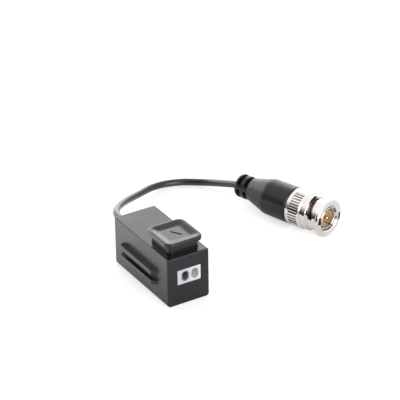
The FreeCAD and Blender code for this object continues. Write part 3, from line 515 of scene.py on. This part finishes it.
def plug_coordinates(tree, place):
    """Object coordinates seen from the plug: X runs forward along its axis from the collar's front face."""
    turned_place = add(tree, "ShaderNodeMapping", {"Vector": place}, vector_type="TEXTURE")
    turned_place.inputs["Location"].default_value = PLUG_FRONT * MM
    turned_place.inputs["Rotation"].default_value = (0, 0, PLUG_HEADING)
    return turned_place.outputs["Vector"]


def between(tree, value, low, high, fade):
    """1 where a length in mm lies between low and high, and 0 outside, with a soft fade at both ends."""
    rise = add(tree, "ShaderNodeMapRange", {"Value": value, "From Min": (low - fade) * MM, "From Max": low * MM},
               interpolation_type="SMOOTHSTEP")
    fall = add(tree, "ShaderNodeMapRange", {"Value": value, "From Min": high * MM, "From Max": (high + fade) * MM,
                                            "To Min": 1.0, "To Max": 0.0}, interpolation_type="SMOOTHSTEP")
    return add(tree, "ShaderNodeMath", {0: rise.outputs["Result"], 1: fall.outputs["Result"]},
               operation="MULTIPLY").outputs["Value"]


def with_painted_shade(tree, place, colour, hollows):
    """Darkens a colour in hollows about the plug's axis.

    Each hollow is (inner radius, outer radius, front depth, rear depth, darkness, top), with lengths in mm.
    The painted shade lies up to the height top over the axis and fades above it, where the hollows mirror the lit
    room.
    """
    axes = add(tree, "ShaderNodeSeparateXYZ", {"Vector": plug_coordinates(tree, place)})
    depth = add(tree, "ShaderNodeMath", {0: axes.outputs["X"], 1: -1.0}, operation="MULTIPLY").outputs["Value"]
    across = add(tree, "ShaderNodeCombineXYZ", {"Y": axes.outputs["Y"], "Z": axes.outputs["Z"]})
    radius = add(tree, "ShaderNodeVectorMath", {0: across.outputs["Vector"]}, operation="LENGTH").outputs["Value"]
    for inner, outer, front, rear, darkness, top in hollows:
        zone = add(tree, "ShaderNodeMath", {0: between(tree, radius, inner, outer, RADIUS_FADE),
                                            1: between(tree, depth, front, rear, DEPTH_FADE)},
                   operation="MULTIPLY")
        # Painted shade: its strength fades out above the height top.
        shade_strength = add(tree, "ShaderNodeMath", {0: between(tree, axes.outputs["Z"], BELOW_PLUG, top, TOP_FADE),
                                             1: darkness}, operation="MULTIPLY")
        amount = add(tree, "ShaderNodeMath", {0: zone.outputs["Value"], 1: shade_strength.outputs["Value"]},
                     operation="MULTIPLY")
        colour = mix(tree, amount.outputs["Value"], colour, linear(PAINTED_SHADE_COLOUR))
    return colour


def metal(name, hex_colour, roughness, ring_mm=0.0, ring_depth_mm=0.0, wobble=0.03, hollows=()):
    """Metal with a cloudy roughness and, for turned pieces, fine rings square to the plug's axis."""
    material, tree, out = new_material(name)
    place = add(tree, "ShaderNodeTexCoord").outputs["Object"]
    clouds = add(tree, "ShaderNodeTexNoise", {"Vector": place, "Scale": 1 / (CLOUD_MM * MM),
                                              "Detail": CLOUD_DETAIL})
    rough = add(tree, "ShaderNodeMapRange", {"Value": clouds.outputs["Fac"], "From Min": CLOUD_LOW,
                                             "From Max": CLOUD_HIGH, "To Min": max(roughness - wobble, SMOOTHEST),
                                             "To Max": roughness + wobble})
    shader = add(tree, "ShaderNodeBsdfPrincipled", {"Roughness": rough.outputs["Result"]})
    base = linear(hex_colour)
    colour = mix(tree, clouds.outputs["Fac"], scaled(base, DULLER), base)
    if hollows:
        colour = with_painted_shade(tree, place, colour, hollows)
    tree.links.new(colour, shader.inputs["Base Color"])
    shader.inputs["Metallic"].default_value = 1.0
    if ring_mm:
        rings = add(tree, "ShaderNodeTexWave", {"Vector": plug_coordinates(tree, place),
                                                "Scale": WAVE_PERIOD / (ring_mm * MM),
                                                "Distortion": RING_DISTORTION, "Detail": RING_DETAIL},
                    wave_type="BANDS", bands_direction="X")
        bump = add(tree, "ShaderNodeBump", {"Height": rings.outputs["Fac"], "Strength": 1.0,
                                            "Distance": ring_depth_mm * MM})
        tree.links.new(bump.outputs["Normal"], shader.inputs["Normal"])
    tree.links.new(shader.outputs["BSDF"], out.inputs["Surface"])
    return material


# Hollows that get painted shade: (inner radius, outer radius, front depth, rear depth, darkness, top), in mm.
knurl_grooves = (6.9, 7.22, 10.5, 14.9, 0.95, 3.2)
slot_walls = (5.04, 6.1, 1.7, 8.3, 0.5, 9.0)
collar_rear_edge = (7.0, 7.5, 16.3, 16.8, 0.7, 9.0)
sleeve_under_collar = (4.3, 4.5, 2.5, 10.5, 0.4, 9.0)
bright_nickel = metal("bright_nickel_plate", "#fbf6f3", roughness=0.11, ring_mm=0.25, ring_depth_mm=0.0006,
                      hollows=[knurl_grooves, slot_walls, collar_rear_edge])
sleeve_nickel = metal("nickel_plated_sleeve", "#e4d8cd", roughness=0.16, ring_mm=0.25, ring_depth_mm=0.0006,
                      hollows=[sleeve_under_collar])
satin_nickel = metal("satin_nickel_plate", "#d8d0c8", roughness=0.24, ring_mm=0.25, ring_depth_mm=0.0006)
gilt = metal("gold_plate", "#f7d695", roughness=0.2)
spring_steel = metal("blank_spring_steel", "#b9b7b3", roughness=0.28)
tinned_copper = metal("tinned_copper", "#c9c6bf", roughness=0.32)
bare_copper = metal("bare_copper", "#d08a68", roughness=0.3)
finish_nodes(bright_nickel, "coupling_collar")
finish_nodes(sleeve_nickel, "outer_contact")
finish_nodes(satin_nickel, "plug_body", "crimp_ferrule")
finish_nodes(gilt, "centre_pin")
finish_nodes(spring_steel, "clamp_spring_left", "clamp_spring_right", "spring_washers", "thrust_washer",
             "retaining_ring")
finish_nodes(tinned_copper, "contact_bar_left", "contact_bar_right")
finish_nodes(bare_copper, "core_lead", "shield_lead")
print("metals", [m.name for m in (bright_nickel, sleeve_nickel, satin_nickel, gilt, spring_steel, tinned_copper,
                                  bare_copper)])

# %% [markdown]
# ## The parts on the board
#
# Inside the box lie a small board, a ferrite ring with two enamelled windings, a gas tube and three chips.
# Nothing of them shows from outside, but they are real pieces, so each gets the finish that such a part has:
# glossy solder mask, sintered ferrite, enamelled wire, glazed ceramic.

# %% Board and components
board_laminate = moulded_plastic("green_solder_mask", "#1e6b3a", roughness=0.3, grain_mm=0.5,
                                 grain_depth_mm=0.004)
ferrite = moulded_plastic("sintered_ferrite", "#3a3a3c", roughness=0.6, grain_mm=0.15, grain_depth_mm=0.01)
red_enamel = metal("red_enamelled_wire", "#b5482a", roughness=0.25)
green_enamel = metal("green_enamelled_wire", "#4f8a55", roughness=0.25)
glazed_ceramic = moulded_plastic("glazed_ceramic", "#d8d2c6", roughness=0.2, grain_mm=0.6,
                                 grain_depth_mm=0.002, tone=0.04)
fired_ceramic = moulded_plastic("fired_ceramic", "#a98a66", roughness=0.4, grain_mm=0.2, grain_depth_mm=0.004)
black_glaze = moulded_plastic("black_glaze", "#202124", roughness=0.25, grain_mm=0.3, grain_depth_mm=0.002)
finish_nodes(board_laminate, "circuit_board")
finish_nodes(ferrite, "toroid_core")
finish_nodes(red_enamel, "winding_primary")
finish_nodes(green_enamel, "winding_secondary")
finish_nodes(glazed_ceramic, "surge_arrester")
finish_nodes(fired_ceramic, "chip_capacitors")
finish_nodes(black_glaze, "chip_resistor")
print("board parts", [m.name for m in (board_laminate, ferrite, red_enamel, green_enamel, glazed_ceramic,
                                       fired_ceramic, black_glaze)])
